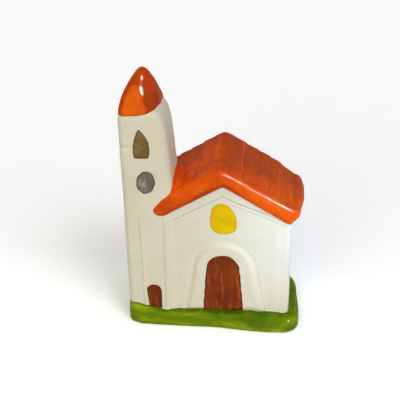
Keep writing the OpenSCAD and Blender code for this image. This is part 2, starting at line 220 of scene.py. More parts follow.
def main_door_outline(x, z):
    """The wide door, with a wavering edge."""
    u = x - (NAVE_X + 0.1) - 0.15 * waver(z, x, 14, 1)
    door = round_head(u, z - LAWN_Z + DOOR_BELOW_LAWN, *DOOR_HALVES, DOOR_HEIGHT)
    return door + 0.12 * waver(x, z, 7, 2)


def arch_outline(x, z):
    """The outer edge of the moulding round the main door."""
    return round_head(x - NAVE_X - 0.9, z - LAWN_Z, *ARCH_HALVES, ARCH_HEIGHT)


def tower_door_outline(x, z):
    """The small door of the tower, which leans a little."""
    lean = 0.03 * (z - LAWN_Z)
    u = x - (TOWER_LEFT + 10.3) + lean
    door = round_head(u, z - LAWN_Z + DOOR_BELOW_LAWN, *SIDE_DOOR_HALVES, SIDE_DOOR_HEIGHT)
    return door + 0.1 * waver(x, z, 5, 3)


def gable_window_outline(x, z):
    """An egg that is squarer below and leans to the left above."""
    v = z - (PEAK_Z - WINDOW_BELOW_PEAK)
    lean = 0.9 * np.clip(v / 7.7, 0, 1.2) ** 2
    u = x - NAVE_X - 0.45 + lean
    above = oval(u, v, WINDOW_HALF, WINDOW_UP, 2.0)
    below = oval(u, v, WINDOW_HALF, WINDOW_DOWN, 2.7)
    return np.where(v > 0, above, below) + 0.1 * waver(x, z, 6, 4)


def belfry_outline(x, z):
    """A lancet between two arcs, each with its middle across, its middle up and its radius."""
    u = x - (TOWER_LEFT + 8.5)
    v = z - BELFRY_SILL
    right, left = (np.hypot(u - across, v - up) - radius
                   for across, up, radius in (BELFRY_RIGHT_ARC, BELFRY_LEFT_ARC))
    foot = round_rectangle(u, v - 20, BELFRY_FOOT_HALF, 20, BELFRY_FOOT_ROUND)
    return soft_cut(np.maximum(right, left), foot, 0.4) + 0.06 * waver(x, z, 4, 5)


def clock_outline(x, z):
    """A disc drawn by hand, a little uneven round its edge."""
    u = (x - (TOWER_LEFT + 9.35)) / CLOCK_HALF
    v = (z - CLOCK_Z) / CLOCK_UP
    angle = np.arctan2(v, u)
    edge = 1 + 0.055 * np.cos(2 * angle - 1.75) + 0.018 * np.cos(7 * angle)
    return (np.hypot(u, v) - edge) * 3.6


# Forms of the casting

def lawn_height(x):
    """The lawn stands highest round the tower and falls a little to the right."""
    rise = LAWN_RISE_LEFT * smooth_step(-x, 17, 30)
    fall = LAWN_FALL_RIGHT * smooth_step(x, 12, 26)
    return LAWN_Z - 0.35 + rise - fall


def base_field(x, y, z):
    """The lawn: its front bows back at the left, its right side is narrower, and its edges are rolled."""
    bow = LAWN_BOW * (1 - smooth_step(x, -1, 19)) * smooth_step(-y, 0, 12)
    narrow = 0.55 + 0.8 * smooth_step(y, -8, 10)
    u = np.where(x > 0, x + narrow, x)
    radius = np.where(y > 0, LAWN_BACK_CORNER, LAWN_FRONT_CORNER)
    side = round_rectangle(u, y - bow, BASE_HALF[0], BASE_HALF[1], radius)
    swell = 0.1 * waver(x + y, z * 3, 26, 7)
    foot = soft_cut(side + swell, -z, FOOT_ROLL)
    return soft_cut(foot, z - lawn_height(x) - 0.1 * waver(x, y, 17, 6), LAWN_ROLL)


def roof_under(x):
    """Height of the roof's underside, with a soft peak. The right side falls a little more steeply."""
    run = np.sqrt((x - NAVE_X - PEAK_OFFSET) ** 2 + 0.3) - 0.2
    return PEAK_Z - run * np.where(x > NAVE_X + PEAK_OFFSET, RIGHT_PITCH, PITCH)


def tile_place(run, y):
    """The course that a point lies in, how far down it, how near an upright joint, and how crisp it is."""
    place = (run - TILE_START + 0.3 * waver(run, y, 21, 18)) / TILE_LENGTH
    row = np.floor(place)
    across = (y - ROOF_FRONT + 0.4 * waver(y, run, 17, 19)) / TILE_WIDTH + 0.5 * np.mod(row, 2)
    gap = np.abs(across - np.round(across)) * TILE_WIDTH
    crisp = 0.62 + 0.38 * np.cos(row * 2.4)
    return place, place - row, gap, crisp


def tile_relief(run, y):
    """How far the roof's surface lies below the crown of its tiles."""
    place, part, gap, crisp = tile_place(run, y)
    depth = (0.36 + 0.10 * waver(y, run, 23, 22)) * crisp
    depth = depth + 0.24 * smooth_step(y, ROOF_BACK - 8, ROOF_BACK - 2)
    crown = 0.3 + 0.7 * part / TILE_FOOT
    tread = TILE_DROP - depth * np.where(part < TILE_FOOT, crown, 1 - smooth_step(part, TILE_FOOT, 1.0))
    tread = np.where(part < TILE_LIP, TILE_DROP - depth * 0.3 * part / TILE_LIP, tread)
    clear = np.clip(0.6 + 0.8 * waver(run, y, 11, 20), 0, 1)
    groove = JOINT_DEPTH * (1 - smooth_step(gap, 0.0, 1.0)) * clear
    rows = smooth_step(place, -0.15, 0.15)
    return rows * (tread + groove * smooth_step(part, 0.0, 0.3) * (1 - smooth_step(part, 0.7, 1.0)))


def eave_end(x, y, z, side):
    """The eave flares out from the head of the side wall to a round nose, fullest at mid length."""
    foot_x = NAVE_X + side * (NAVE_RIGHT - NAVE_X - 0.3)
    flare = (side * (x - foot_x)) * EAVE_OUT - (z - roof_under(foot_x)) * EAVE_DOWN
    front = smooth_step(y, ROOF_FRONT + 2, ROOF_FRONT + 18)
    full = front * (1 - smooth_step(y, ROOF_BACK - 7, ROOF_BACK + 1))
    nose = side * (x - NAVE_X) - (EAVE_X - NAVE_X) - 0.4 - 0.7 * full
    return soft_cut(flare - EAVE_SWELL * full, nose, 2.0)


def verge_tip(x, z):
    """The left end of the verge lies on the tower's front as a rounded finger."""
    slant = -(x - TIP_X - 2.0) * TIP_ACROSS + (z - PEAK_Z + 7.3) * TIP_UP
    finger = soft_cut(slant, TIP_X - 0.4 - x, 2.2)
    return soft_cut(finger, PEAK_Z - 12.1 - z - 0.16 * (x - TIP_X), 2.6)


def roof_field(x, y, z):
    """A thick plate over both slopes that rises towards the back, with tiles behind the smooth verge."""
    back = np.clip((y - ROOF_FRONT - 2.5) / (ROOF_BACK - ROOF_FRONT - 4), 0, 1.05)
    middle = NAVE_X - RIDGE_OFFSET
    run = np.sqrt((x - middle) ** 2 + 1.6) - 0.5
    lift = ROOF_LIFT * back * (1 - 0.85 * smooth_step(run, 16, 29))
    lift = lift + 0.5 * smooth_step(x, EAVE_X - 4, EAVE_X - 1)
    inner = smooth_step(y, ROOF_FRONT + 1.6, ROOF_FRONT + 3.6)
    top = PEAK_Z + ROOF_DEPTH + lift - run * TOP_PITCH - tile_relief(run, y) * inner
    above = (z - top) * SLOPE_COS
    below = (roof_under(x) - z) * SLOPE_COS
    plate = soft_cut(above, (ROOF_FRONT - y) + 0.1 * waver(x, z, 13, 8), 2.4)
    plate = soft_cut(plate, y - ROOF_BACK, 2.0)
    plate = soft_cut(plate, eave_end(x, y, z, 1), 2.6)
    left = eave_end(x, y, z, -1)
    left = np.where(y < TOWER_BACK - 1, verge_tip(x, z), left)
    plate = soft_cut(plate, left, 2.6)
    return soft_cut(plate, below, 0.8)


def nave_field(x, y, z):
    """The nave's block with soft corners, which reaches up into the roof."""
    u = x - (NAVE_LEFT + NAVE_RIGHT) / 2
    v = y - (NAVE_FRONT + NAVE_BACK) / 2
    half_u = (NAVE_RIGHT - NAVE_LEFT) / 2 + 0.1 * waver(y, z, 30, 9)
    half_v = (NAVE_BACK - NAVE_FRONT) / 2 + 0.1 * waver(x, z, 34, 10)
    walls = round_rectangle(u, v, half_u, half_v, NAVE_CORNER)
    return soft_cut(walls, z - (roof_under(x) + 2), 1)


def tower_field(x, y, z):
    """The tower tapers at its right, ends in a round shoulder and has a small nick at its left edge."""
    nick = TOWER_NICK_DEPTH * bump(z, TOWER_NICK_Z, 1.3) * bump(y, TOWER_FRONT + 0.4, 2.4)
    nick = nick * (x < TOWER_LEFT + 4)
    share = np.clip((z - LAWN_Z) / (SHOULDER_Z - LAWN_Z), 0, 1.1)
    left = TOWER_LEFT - 0.2 + 0.9 * share + 0.12 * waver(z, y, 40, 11)
    right = TOWER_RIGHT + 0.15 - TOWER_TAPER * share ** 1.6
    front = TOWER_FRONT + 0.3 * share
    back = TOWER_BACK - 0.3 * share
    u = x - (left + right) / 2
    v = y - (front + back) / 2
    radius = np.where(v < 0, TOWER_CORNERS["front right"], TOWER_CORNERS["back right"])
    radius = np.where(u < 0, TOWER_CORNERS["left"], radius)
    walls = round_rectangle(u, v, (right - left) / 2, (back - front) / 2, radius)
    shoulder = (x - right) * SHOULDER_OUT + (z - SHOULDER_Z - 0.7) * SHOULDER_UP + 0.7
    walls = soft_cut(walls, shoulder, SHOULDER_ROUND)
    top = z - SHOULDER_Z - 0.6 - 0.11 * (x - TOWER_LEFT)
    return soft_cut(walls, top, SHOULDER_ROUND) + nick


def spire_shape(x, y, z):
    """Share of the height, place round the middle, half sizes there, and distance to the cut corner."""
    share = (z - SPIRE_LOW[2]) / (SPIRE_HIGH[2] - SPIRE_LOW[2] + 0.7)
    full = np.power(np.clip(1 - np.clip(share, 0, 1) ** SPIRE_BELLY, 0, 1), SPIRE_CLOSING)
    left = SPIRE_LOW[0] - 0.3
    right = SPIRE_HIGH[0] + 0.5
    u = x - (left + right) / 2 - 1.0 * smooth_step(share, 0.35, 1)
    v = y - (SPIRE_LOW[1] + SPIRE_HIGH[1]) / 2
    half_u = (right - left) / 2 * full
    half_v = ((SPIRE_HIGH[1] - SPIRE_LOW[1]) / 2 + 0.2) * full
    cut = (HIP_CUT + 0.6 * share) * (1 - 0.75 * smooth_step(share, 0.6, 0.95))
    hip = (u - half_u + cut) * HIP_ACROSS - (v + half_v) * HIP_FORWARD
    return share, u, v, half_u, half_v, hip


def spire_field(x, y, z):
    """The spire with its full sides, its cut corner and its round tip."""
    share, u, v, half_u, half_v, hip = spire_shape(x, y, z)
    radius = np.clip(1.7 + 1.6 * share, 0.05, np.maximum(np.minimum(half_u, half_v) * 0.98, 0.05))
    sides = soft_cut(round_rectangle(u, v, half_u, half_v, radius), hip, 1.4) * 0.82
    drop = z - SPIRE_HIGH[2] + SPIRE_TIP_DROP
    tip = np.sqrt(u ** 2 + v ** 2 + drop ** 2) - SPIRE_TIP_ROUND
    solid = soft_cut(sides, np.where(drop > 0, tip, -3), 0.8)
    return soft_cut(solid, SPIRE_LOW[2] - 3 - z, 0.5)


def arch_relief(x, z):
    """The wide moulding round the main door, flatter inside, with a faint line beside it on each side."""
    arch = arch_outline(x, z)
    soft = 1.3 + 1.2 * smooth_step(x, NAVE_X, NAVE_X + 10)
    relief = ARCH_PROUD * (1 - smooth_step(arch, -soft, 0.4))
    relief = relief - 0.3 * (1 - smooth_step(arch, -5.5, -2.0))
    relief = relief - 0.14 * bump(arch, 1.0, 1.3) * (1 - smooth_step(x, NAVE_X + 3, NAVE_X + 9))
    return relief + 0.12 * bump(arch, 0.9, 0.8) * smooth_step(x, NAVE_X + 8, NAVE_X + 12)


def front_relief(x, z):
    """How far the nave's front stands proud of its plane: arch, cornice, corner strips and left edge."""
    drop = roof_under(x) - z
    height = CORNICE_DEPTH - CORNICE_NARROWING * smooth_step(x, NAVE_X + 1, NAVE_X + 24)
    band = 1 - smooth_step(drop, height - 1.1, height + 0.2)
    relief = arch_relief(x, z) + CORNICE_PROUD * band + 0.18 * bump(drop, height + 0.7, 0.9)
    strip = 0.8 * bump(x, NAVE_RIGHT - 10.5, 1.6) * (1 - smooth_step(z, 22, 34))
    strip = bump(x, NAVE_RIGHT - 5.5, 2.4) + strip
    edge = bump(x, NAVE_LEFT + 0.10 * (46 - z), 1.3) * (1 - smooth_step(z, 44, 50))
    return relief + 0.14 * strip + 0.5 * edge


def tower_relief(x, z):
    """Shallow upright ridges on the lower part of the tower's front, which falls back to the nave."""
    low = 1 - smooth_step(z, 40, 54)
    ridge = 0.44 * bump(x, TOWER_LEFT + 6.5, 1.0) + 0.46 * bump(x, TOWER_LEFT + 14.6 + 0.02 * z, 1.1)
    fall = smooth_step(x, TOWER_LEFT + 15.3, TOWER_RIGHT - 0.8)
    return low * (ridge - TOWER_FALL * fall)


def door_relief(x, z):
    """Planks of the main door, which stand out in its lower part."""
    low = 1 - smooth_step(z, LAWN_Z + 12, LAWN_Z + 19)
    across = (x - NAVE_X - 0.1 + 0.25 * waver(z, x, 18, 16)) / PLANK_WIDTH
    plank = np.abs(across - np.round(across)) * 2
    return low * (0.4 - 0.75 * plank ** 2) * 0.5


def casting_field(x, y, z):
    """The whole casting with its glaze, its forms joined by soft fillets and flat on the table."""
    near = 1 - smooth_step(y, NAVE_FRONT + 1.0, NAVE_FRONT + 3.0)
    nave = nave_field(x, y, z) - front_relief(x, z) * near
    tower = tower_field(x, y, z) - tower_relief(x, z) * near
    body = soft_union(nave, tower, 0.7)
    body = soft_union(body, base_field(x, y, z), 0.8)
    fillet = 0.6 + 2.6 * smooth_step(y, TOWER_FRONT + 1.5, TOWER_FRONT + 4) * (z > roof_under(x))
    body = soft_union(body, roof_field(x, y, z), fillet)
    body = soft_union(body, spire_field(x, y, z), 0.5)
    return np.maximum(body - paint_lift(x, y, z), -z)


# The painter's edges: each is below zero where its glaze lies

def on_front(outline, x, y, z):
    """An outline that counts only near the front."""
    return np.maximum(outline(x, z), y - (TOWER_FRONT + 4))


def grass_edge(x, y, z):
    """The grass is painted up to a wavering line just above the lawn, and not on the underside."""
    line = lawn_height(x) + 0.35 + 0.7 * smooth_step(-x, 20, 32) + 0.3 * smooth_step(x, 6, 14)
    top = z - line - 0.22 * waver(x, y, 9, 12) - 0.12 * waver(x, y, 4, 13)
    return np.maximum(top, 0.12 - z)


def above_grass(outline, x, y, z):
    """A door's glaze stops where the grass begins."""
    return np.maximum(on_front(outline, x, y, z), -grass_edge(x, y, z))


def floor_edge(x, y, z):
    """Below zero on the underside where the floor of the frame shows, with its drain hole."""
    middle = (FLOOR_LOW + FLOOR_HIGH) / 2
    half = (FLOOR_HIGH - FLOOR_LOW) / 2
    return np.maximum(round_rectangle(x - middle[0], y - middle[1], half[0], half[1], 0.2), z - 0.5)


def roof_edge(x, y, z):
    """The roof's glaze, which climbs a little where the roof meets the tower."""
    under = (roof_under(x) - 0.1 - z) * SLOPE_COS
    climb = 3.0 * smooth_step(y, TOWER_FRONT + 0.5, TOWER_FRONT + 3.5) * (z > roof_under(x) + 3)
    climb = climb + 0.5 * waver(y, z, 9, 17) * (climb > 1)
    return np.maximum(under, roof_field(x, y, z) - 0.3 - climb) + 0.05 * waver(x, z, 5, 14)


def verge_edge(x, y, z):
    """The smooth front edge of the roof's glaze."""
    return np.maximum(roof_edge(x, y, z), y - ROOF_FRONT - VERGE_WIDTH - 0.3 * waver(x, z, 8, 21))


def spire_edge(x, y, z):
    """The spire's glaze, whose edge rises to the right and at the left corner."""
    rise = 0.2 + 2.2 * smooth_step(x, SPIRE_LOW[0] + 4.9, SPIRE_LOW[0] + 15.9)
    rise = rise + 0.5 * smooth_step(-x, -SPIRE_LOW[0] - 2.5, -SPIRE_LOW[0])
    return SPIRE_LOW[2] + rise + 0.2 * waver(x, y, 8, 15) - z


GLAZED = {
    "door": lambda x, y, z: above_grass(main_door_outline, x, y, z),
    "side_door": lambda x, y, z: above_grass(tower_door_outline, x, y, z),
    "gable_window": lambda x, y, z: on_front(gable_window_outline, x, y, z),
    "belfry": lambda x, y, z: on_front(belfry_outline, x, y, z),
    "clock": lambda x, y, z: on_front(clock_outline, x, y, z),
    "verge": verge_edge,
    "roof": roof_edge,
    "spire": spire_edge,
    "grass": grass_edge,
}
SMALL_FIELDS = ("door", "side_door", "gable_window", "belfry", "clock", "spire", "grass")


def paint_lift(x, y, z):
    """The glaze lies on the clay as a thin layer with a round edge, and the planks stand out in it."""
    lift = 0
    for edge in GLAZED.values():
        value = edge(x, y, z)
        lift = np.maximum(lift, GLAZE * (1 - smooth_step(value, -0.7, 0.05)))
    planks = door_relief(x, z) * (1 - smooth_step(GLAZED["door"](x, y, z), -1.4, -0.3))
    return lift + planks


def spire_light_and_shade(x, y, z):
    """Painted light and shade on the spire: its front face is painted paler as painted light, and its left
    side, right face and top darker as painted shade, with a dark streak of pooled glaze along the lower
    hip.
    """
    share, u, _, half_u, _, hip = spire_shape(x, y, z)
    sides = np.maximum(1 - smooth_step(u + half_u, 1.2, 2.0), smooth_step(hip, -0.9, 0.1))
    sides = np.maximum(sides, smooth_step(share + 0.008 * (u + 1.6) ** 2, 0.60, 0.70))
    streak = bump(hip, -0.5, 1.0) * (1 - smooth_step(share, 0.35, 0.5))
    return 0.6 * sides + 0.5 * streak - 0.75 * (1 - sides) * (0.7 + 0.3 * waver(x, z, 9, 31))


def tile_depth(x, y):
    """The tiles' glaze is thick at the foot of each course and in the joints, and thin on the crown."""
    run = np.abs(x - NAVE_X + RIDGE_OFFSET)
    place, part, gap, crisp = tile_place(run, y)
    foot = np.maximum(bump(part, 0.0, 0.2), bump(part, 1.0, 0.16))
    joint = 1 - smooth_step(gap, 0.1, 0.7)
    wear_and_shade = 0.75 + 0.25 * waver(run, y, 13, 32)
    courses = crisp * wear_and_shade * (0.85 * foot - 0.6 * bump(part, 0.76, 0.12))
    tiles = courses + 0.5 * joint * (1 - foot) * (wear_and_shade - 0.2)
    return tiles * smooth_step(place, -0.15, 0.1) * smooth_step(y, ROOF_FRONT + 2.4, ROOF_FRONT + 3.6)


def verge_depth_and_shade(x, y, z):
    """The verge's glaze is thick and dark along its lower edge, with thin places above; right of the apex
    this darkening is weaker, a painted shade that keeps the left verge darker.
    """
    on_verge = y < ROOF_FRONT + 2
    under = (roof_under(x) - z) * SLOPE_COS
    verge = bump(under, -0.5, 2.1) * on_verge * (0.9 + 0.4 * waver(x, z, 12, 33))
    # Painted shade: the darkening is weaker right of the apex, so the left verge stays darker
    verge = verge * (1 - 0.45 * smooth_step(x, NAVE_X + 2, NAVE_X + 9))
    return verge - 0.5 * bump(under, -3.6, 1.6) * on_verge * np.clip(waver(x, z, 8, 34), 0, 1)


def glaze_depth_and_shade(x, y, z):
    """Above 0 where the glaze has run together and is dark, below 0 where a crown shows through it. On the
    spire it also holds painted shade on the sides and top and painted light on the front face, and on the
    verge painted shade at the left.
    """
    depth = np.zeros(len(x))
    for name in SMALL_FIELDS:
        depth = np.maximum(depth, 0.8 * bump(GLAZED[name](x, y, z), -0.2, 0.75))
    door_head = smooth_step(z, LAWN_Z + 16, LAWN_Z + 23) * (GLAZED["door"](x, y, z) < 0)
    depth = np.maximum(depth, 0.5 * door_head)
    depth = np.maximum(depth, 0.4 * (GLAZED["side_door"](x, y, z) < 0))
    # On the spire, painted light on the front face and painted shade on its sides and top
    on_spire = (GLAZED["spire"](x, y, z) < 0) & (x < SPIRE_HIGH[0] + 2)
    depth = np.where(on_spire, np.maximum(depth, 0) + spire_light_and_shade(x, y, z), depth)
    on_roof = (GLAZED["roof"](x, y, z) < 0) & (z > LAWN_Z + 10) & (z < SPIRE_LOW[2] - 4)
    return np.where(on_roof, tile_depth(x, y) + verge_depth_and_shade(x, y, z), depth)


# Skin of a field: one point in each cell that the surface crosses, moved on to the surface

def sample(field, points, block=400000):
    """Values of a field at many points, a block at a time."""
    values = [field(*points[i:i + block].T) for i in range(0, len(points), block)]
    return np.concatenate(values)


def slope_of(field, points, reach=0.02):
    """How fast a field rises along each axis."""
    parts = []
    for axis in range(3):
        ahead, behind = points.copy(), points.copy()
        ahead[:, axis] += reach
        behind[:, axis] -= reach
        parts.append((sample(field, ahead) - sample(field, behind)) / (2 * reach))
    return np.stack(parts, axis=1)


def grid_values(field, axes, counts):
    """Values of a field on a grid, one slice at a time."""
    values = np.empty(counts, dtype=np.float32)
    for i, x in enumerate(axes[0]):
        y, z = np.meshgrid(axes[1], axes[2], indexing="ij")
        values[i] = field(np.full_like(y, x), y, z)
    return values


def crossing_middles(values, inside):
    """For each cell, the middle of the places where its edges cross the surface, and how many there are."""
    cells = np.array(values.shape) - 1
    total = np.zeros(cells, dtype=np.float32)
    middle = np.zeros((*cells, 3), dtype=np.float32)
    steps = np.array([[a, b, c] for a in (0, 1) for b in (0, 1) for c in (0, 1)])
    for axis in range(3):
        for start in steps[steps[:, axis] == 0]:
            end = start.copy()
            end[axis] = 1
            near = tuple(slice(s, s + n) for s, n in zip(start, cells))
            away = tuple(slice(s, s + n) for s, n in zip(end, cells))
            crossed = inside[near] != inside[away]
            a, b = values[near][crossed], values[away][crossed]
            place = np.tile(start.astype(np.float32), (len(a), 1))
            place[:, axis] += a / (a - b)
            middle[crossed] += place
            total[crossed] += 1
    return middle, total


def square_faces(inside, index):
    """A square face round each grid edge that crosses the surface, with its corners in four cells."""
    faces = []
    for axis in range(3):
        first, second = (axis + 1) % 3, (axis + 2) % 3
        near = [slice(1, -1)] * 3
        away = [slice(1, -1)] * 3
        near[axis] = slice(0, -1)
        away[axis] = slice(1, None)
        crossed = inside[tuple(near)] != inside[tuple(away)]
        spot = np.argwhere(crossed)
        rising = inside[tuple(near)][crossed]
        spot[:, first] += 1
        spot[:, second] += 1
        ring = []
        for back_first, back_second in ((1, 1), (0, 1), (0, 0), (1, 0)):
            corner = spot.copy()
            corner[:, first] -= back_first
            corner[:, second] -= back_second
            ring.append(index[tuple(corner.T)])
        ring = np.stack(ring, axis=1)
        ring[~rising] = ring[~rising][:, ::-1]
        faces.append(ring)
    return np.concatenate(faces)


def skin(field, low, high, cell):
    """Points and square faces of the surface where the field is zero."""
    counts = np.ceil((high - low) / cell).astype(int) + 1
    axes = [low[i] + cell * np.arange(counts[i]) for i in range(3)]
    values = grid_values(field, axes, counts)
    inside = values < 0
    middle, total = crossing_middles(values, inside)
    used = total > 0
    index = np.full(used.shape, -1, dtype=np.int64)
    index[used] = np.arange(used.sum())
    points = low + cell * (np.argwhere(used) + middle[used] / total[used][:, None])
    least_slope, furthest = 0.05, 0.4 * cell
    for _ in range(2):
        slope = slope_of(field, points)
        size = np.maximum((slope ** 2).sum(axis=1), least_slope)
        move = sample(field, points)[:, None] * slope / size[:, None]
        points = points - np.clip(move, -furthest, furthest)
    return points, square_faces(inside, index)


def off_zero(values):
    """Moves exact zeros a hair outwards, so that a cut never runs through a point."""
    return np.where(values == 0, 1e-6, values)


def split(points, triangles, values):
    """Cuts triangles along the line where the values at their points are zero.

    Gives all points, the triangles where the values are below zero, and the other triangles.
    """
    positive = values[triangles] > 0
    count = positive.sum(axis=1)
    inner, outer = [triangles[count == 0]], [triangles[count == 3]]
    edges_a, edges_b, jobs = [], [], []
    for lone_positive in (True, False):
        chosen = triangles[count == (1 if lone_positive else 2)]
        marks = positive[count == (1 if lone_positive else 2)]
        lone = np.argmax(marks if lone_positive else ~marks, axis=1)
        order = (lone[:, None] + np.arange(3)) % 3
        turned = np.take_along_axis(chosen, order, 1)
        jobs.append((turned, lone_positive))
        edges_a += [turned[:, 0], turned[:, 0]]
        edges_b += [turned[:, 1], turned[:, 2]]
    a, b = np.concatenate(edges_a), np.concatenate(edges_b)
    low, high = np.minimum(a, b), np.maximum(a, b)
    key, back = np.unique(low * len(points) + high, return_inverse=True)
    low, high = key // len(points), key % len(points)
    share = values[low] / (values[low] - values[high])
    added = points[low] + share[:, None] * (points[high] - points[low])
    back = back.reshape(-1) + len(points)
    points = np.concatenate([points, added])
    start = 0
    for turned, lone_positive in jobs:
        n = len(turned)
        one, two = back[start:start + n], back[start + n:start + 2 * n]
        start += 2 * n
        tip = np.stack([turned[:, 0], one, two], axis=1)
        rest = np.concatenate([
            np.stack([one, turned[:, 1], turned[:, 2]], axis=1),
            np.stack([one, turned[:, 2], two], axis=1)])
        (outer if lone_positive else inner).append(tip)
        (inner if lone_positive else outer).append(rest)
    return points, np.concatenate(inner), np.concatenate(outer)


def shell(name, points, triangles, normals, depths):
    """A closed piece: the outer skin, an inner copy of it and a rim along its open edges."""
    used, faces = np.unique(triangles, return_inverse=True)
    faces = faces.reshape(-1, 3)
    outer, out = points[used], normals[used]
    inner = outer - out * SHELL
    count = len(outer)
    edges = np.concatenate([faces[:, [0, 1]], faces[:, [1, 2]], faces[:, [2, 0]]])
    key = edges[:, 0] * count + edges[:, 1]
    twin = edges[:, 1] * count + edges[:, 0]
    rim = edges[~np.isin(key, twin)]
    sides = np.concatenate([
        np.stack([rim[:, 1], rim[:, 0], rim[:, 0] + count], axis=1),
        np.stack([rim[:, 1], rim[:, 0] + count, rim[:, 1] + count], axis=1)])
    all_faces = np.concatenate([faces, faces[:, ::-1] + count, sides])
    all_points = np.concatenate([outer, inner]) * MM
    mesh = bpy.data.meshes.new(name)
    mesh.vertices.add(len(all_points))
    mesh.vertices.foreach_set("co", all_points.astype(np.float32).ravel())
    mesh.loops.add(3 * len(all_faces))
    mesh.loops.foreach_set("vertex_index", all_faces.astype(np.int32).ravel())
    mesh.polygons.add(len(all_faces))
    mesh.polygons.foreach_set("loop_start", np.arange(0, 3 * len(all_faces), 3, dtype=np.int32))
    mesh.update(calc_edges=True)
    mesh.shade_smooth()
    turned = np.concatenate([out, -out])
    mesh.normals_split_custom_set_from_vertices(turned.astype(np.float32))
    depth = np.concatenate([depths[used], depths[used]])
    layer = mesh.attributes.new("glaze_depth_and_shade", "FLOAT", "POINT")
    layer.data.foreach_set("value", depth.astype(np.float32))
    piece = bpy.data.objects.new(name, mesh)
    bpy.context.scene.collection.objects.link(piece)
    return piece


# Shader maths as plain expressions

class Value:
    """A socket of a material's nodes, so that shader maths can be written as Python."""

    def __init__(self, tree, socket):
        self.tree = tree
        self.socket = socket

    def node(self, kind, settings=None, output=0, **inputs):
        """Adds a node, sets it, then feeds its sockets by name or by number."""
        made = self.tree.nodes.new(kind)
        for key, setting in (settings or {}).items():
            setattr(made, key, setting)
        for key, given in inputs.items():
            name = int(key[1:]) if key[0] == "_" and key[1:].isdigit() else key.replace("_", " ")
            socket = made.inputs[name]
            if isinstance(given, Value):
                self.tree.links.new(given.socket, socket)
            else:
                socket.default_value = given
        return Value(self.tree, made.outputs[output])

    def maths(self, operation, a, b=0.0):
        """One Math node."""
        return self.node("ShaderNodeMath", {"operation": operation}, _0=a, _1=b)

    def __add__(self, other):
        return self.maths("ADD", self, other)

    __radd__ = __add__

    def __sub__(self, other):
        return self.maths("SUBTRACT", self, other)

    def __rsub__(self, other):
        return self.maths("SUBTRACT", other, self)

    def __mul__(self, other):
        return self.maths("MULTIPLY", self, other)

    __rmul__ = __mul__

    def smooth(self, start, end):
        """0 below start and 1 above end, with a soft rise between."""
        return self.node("ShaderNodeMapRange", {"interpolation_type": "SMOOTHSTEP"},
                         Value=self, From_Min=start, From_Max=end)


class Finish:
    """One material: its place on the object, its noises and its shader."""

    def __init__(self, name, **fixed):
        self.material = bpy.data.materials.new(name)
        self.material.use_nodes = True
        self.tree = self.material.node_tree
        self.shader = self.tree.nodes["Principled BSDF"]
        for key, value in fixed.items():
            self.shader.inputs[key.replace("_", " ")].default_value = value
        self.start = Value(self.tree, None)
        self.place = self.start.node("ShaderNodeTexCoord", output="Object")

    def stretched(self, scale):
        """The place with its own scale along each axis."""
        return self.start.node("ShaderNodeMapping", Vector=self.place, Scale=scale)

    def along(self, axis):
        """The place along X, which is to the right, Y, to the back, or Z, up."""
        return self.start.node("ShaderNodeSeparateXYZ", output=axis, Vector=self.place)

    def noise(self, scale, detail=3.0, rough=0.55, place=None, twist=0.0):
        """Even noise from about 0 to 1. Scale is in waves for each metre."""
        return self.start.node("ShaderNodeTexNoise", Vector=place or self.place, Scale=scale,
                               Detail=detail, Roughness=rough, Distortion=twist)

    def mix(self, low, high, amount):
        """Mixes two colours: low where the amount is 0 and high where it is 1.

        The Mix node repeats its socket names for each type of data, so its sockets go by number.
        """
        return self.start.node("ShaderNodeMix", {"data_type": "RGBA"}, output=2, _0=amount, _6=low, _7=high)

    def feed(self, socket, value):
        """Links a value to a socket of the shader."""
        self.tree.links.new(value.socket, self.shader.inputs[socket])

    def bump(self, *layers):
        """Layers of height, each with its depth in metres."""
        height = None
        for value, depth in layers:
            layer = value * (depth / MM)
            height = layer if height is None else height + layer
        raised = self.start.node("ShaderNodeBump", Height=height, Distance=MM, Strength=1.0)
        self.feed("Normal", raised)


CLAY_DULL = (0.74, 0.695, 0.56, 1)
CLAY_LIGHT = (0.80, 0.76, 0.64, 1)
CLAY_WARM = (0.77, 0.72, 0.57, 1)
CLAY_SPECK = (0.40, 0.33, 0.24, 1)


def white_ware():
    """Satin off-white clay under a thin slip, with faint clouds, specks and pinholes."""
    finish = Finish("white_ware", IOR=1.45, Specular_IOR_Level=0.25)
    clouds = finish.noise(38, 4, 0.6).smooth(0.3, 0.72)
    tint = finish.noise(90, 3, 0.5).smooth(0.35, 0.7)
    base = finish.mix(CLAY_DULL, CLAY_LIGHT, clouds)
    base = finish.mix(base, CLAY_WARM, tint * 0.35)
    specks = finish.noise(700, 2, 0.6).smooth(0.69, 0.76)
    base = finish.mix(base, CLAY_SPECK, specks * 0.35)
    finish.feed("Base Color", base)
    finish.feed("Roughness", 0.5 + clouds * 0.14)
    grain = finish.noise(1500, 3, 0.6)
    slow = finish.noise(130, 2, 0.5)
    finish.bump((grain, 0.00002), (slow, 0.00016))
    return finish.material


def roof_back_shade(finish, brushed, pools):
    """How much painted shade darkens the roof's glaze: more towards the back, and most just right of the
    ridge.
    """
    across, back = finish.along("X"), finish.along("Y")
    limit = 0.006 - across.smooth(0.0, 0.007) * 0.015 + across.smooth(0.012, 0.028) * 0.006
    wear_and_shade = (back - limit + (pools - 0.5) * 0.03 + (brushed - 0.5) * 0.02).smooth(-0.008, 0.009)
    return wear_and_shade * (0.9 - brushed.smooth(0.5, 0.7) * 0.35)


